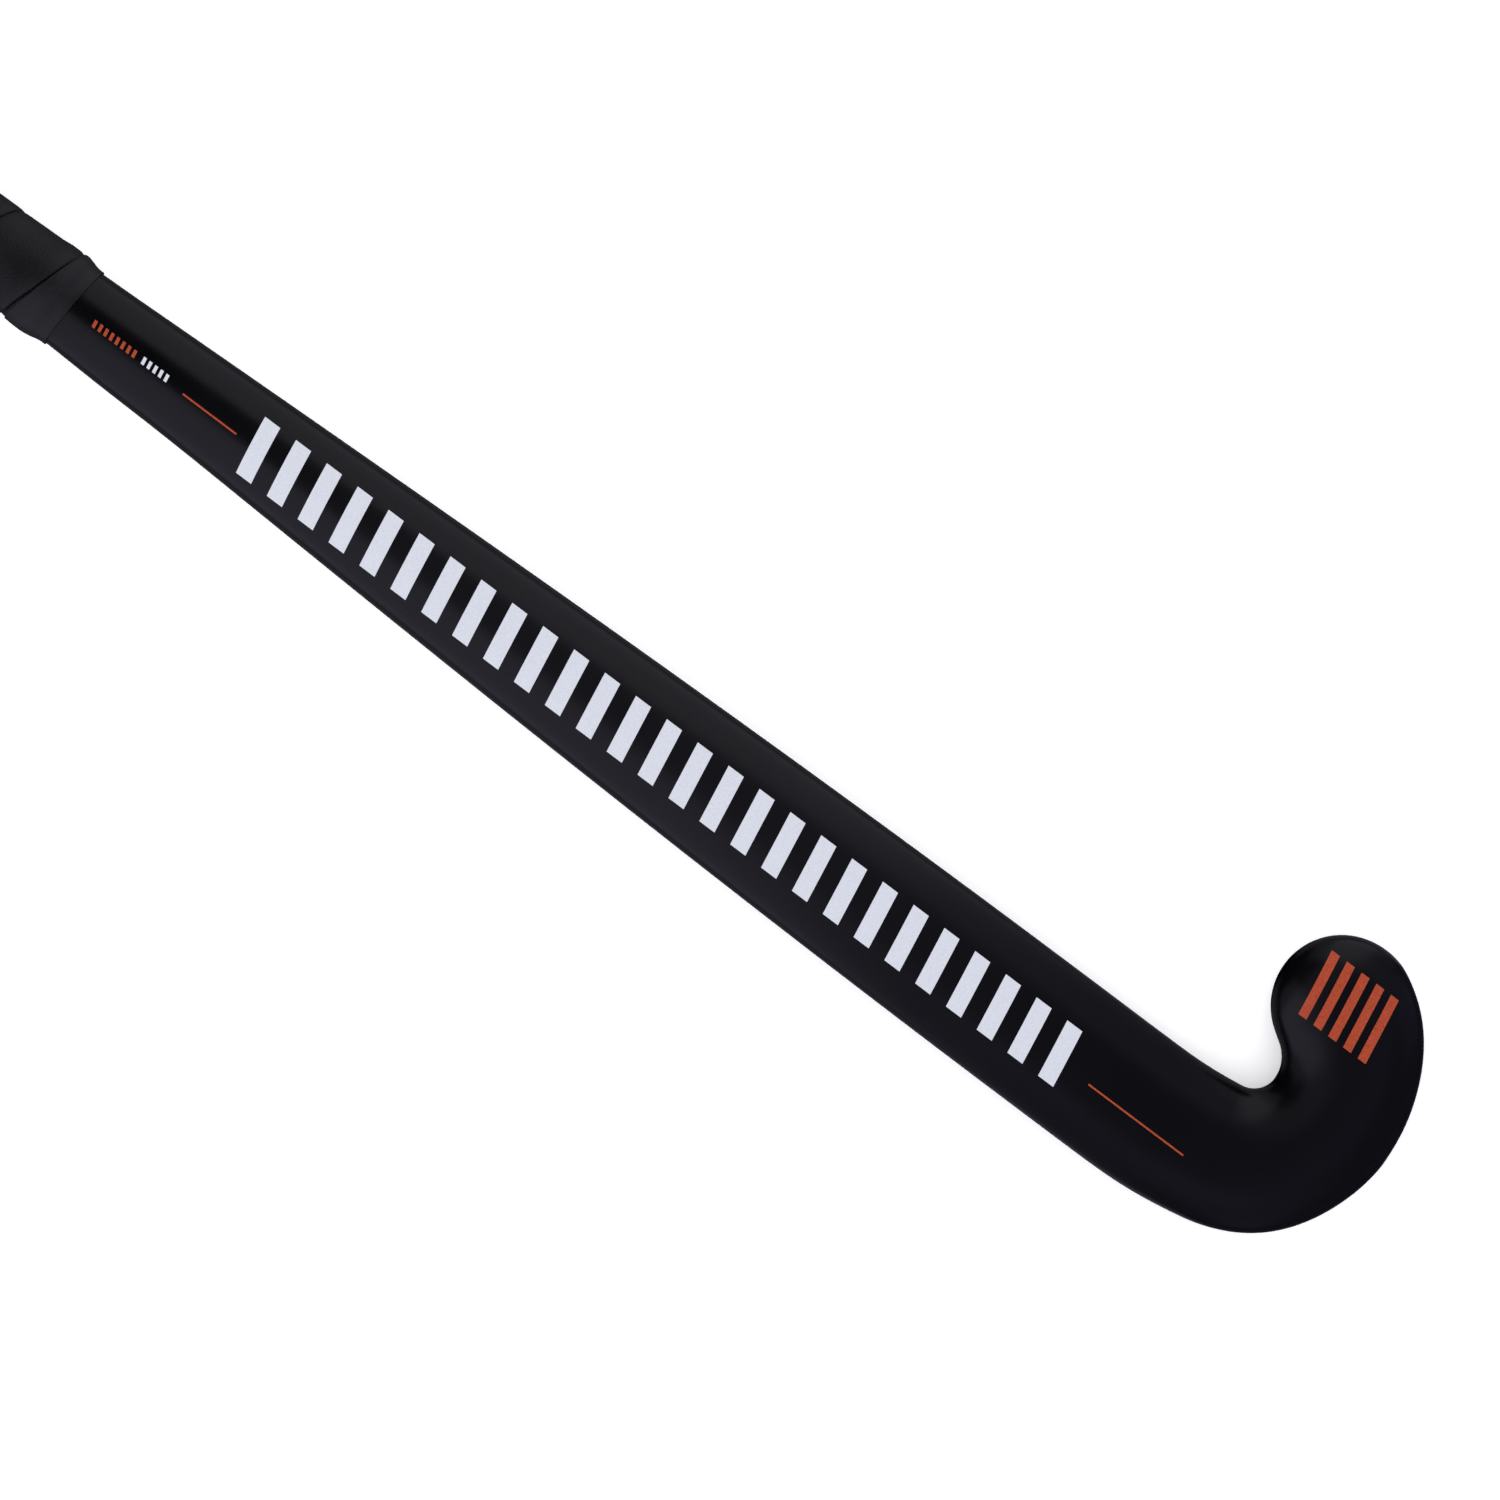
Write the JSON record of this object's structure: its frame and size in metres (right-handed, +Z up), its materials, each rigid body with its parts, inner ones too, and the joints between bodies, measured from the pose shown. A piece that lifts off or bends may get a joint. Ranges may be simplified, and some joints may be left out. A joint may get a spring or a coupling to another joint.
{
  "type": "indoor hockey stick",
  "caption": "Indoor hockey stick: hollow composite shaft with an upturned hook head, a flat playing face, a rounded back and a wound grip.",
  "frame": {"origin": "on the ground under the middle of the stick's outline, with the stick lying on its playing face", "axes": "+X along the shaft from the butt to the head, +Y the way the toe points, +Z up out of the rounded back"},
  "size_m": [0.864, 0.1136, 0.0395],
  "materials": {
    "lacquered_laminate": "black gloss lacquer over a fibre composite",
    "tube_laminate": "bare cured composite",
    "core_foam": "hard closed-cell foam",
    "aramid_plies": "woven aramid plies set in resin",
    "plug_foam": "hard polyurethane foam",
    "cap_rubber": "matt black moulded rubber",
    "grip_polyurethane": "soft matt polyurethane strip",
    "tape_vinyl": "satin black vinyl tape"
  },
  "bodies": {
    "root": {"outer_laminate": "lacquered_laminate", "inner_tube_toe_side": "tube_laminate", "inner_tube_heel_side": "tube_laminate", "head_core": "core_foam", "head_reinforcement": "aramid_plies", "butt_plug": "plug_foam", "butt_cap": "cap_rubber", "grip_tape": "grip_polyurethane", "finishing_tape": "tape_vinyl"}
  },
  "joints": []
}
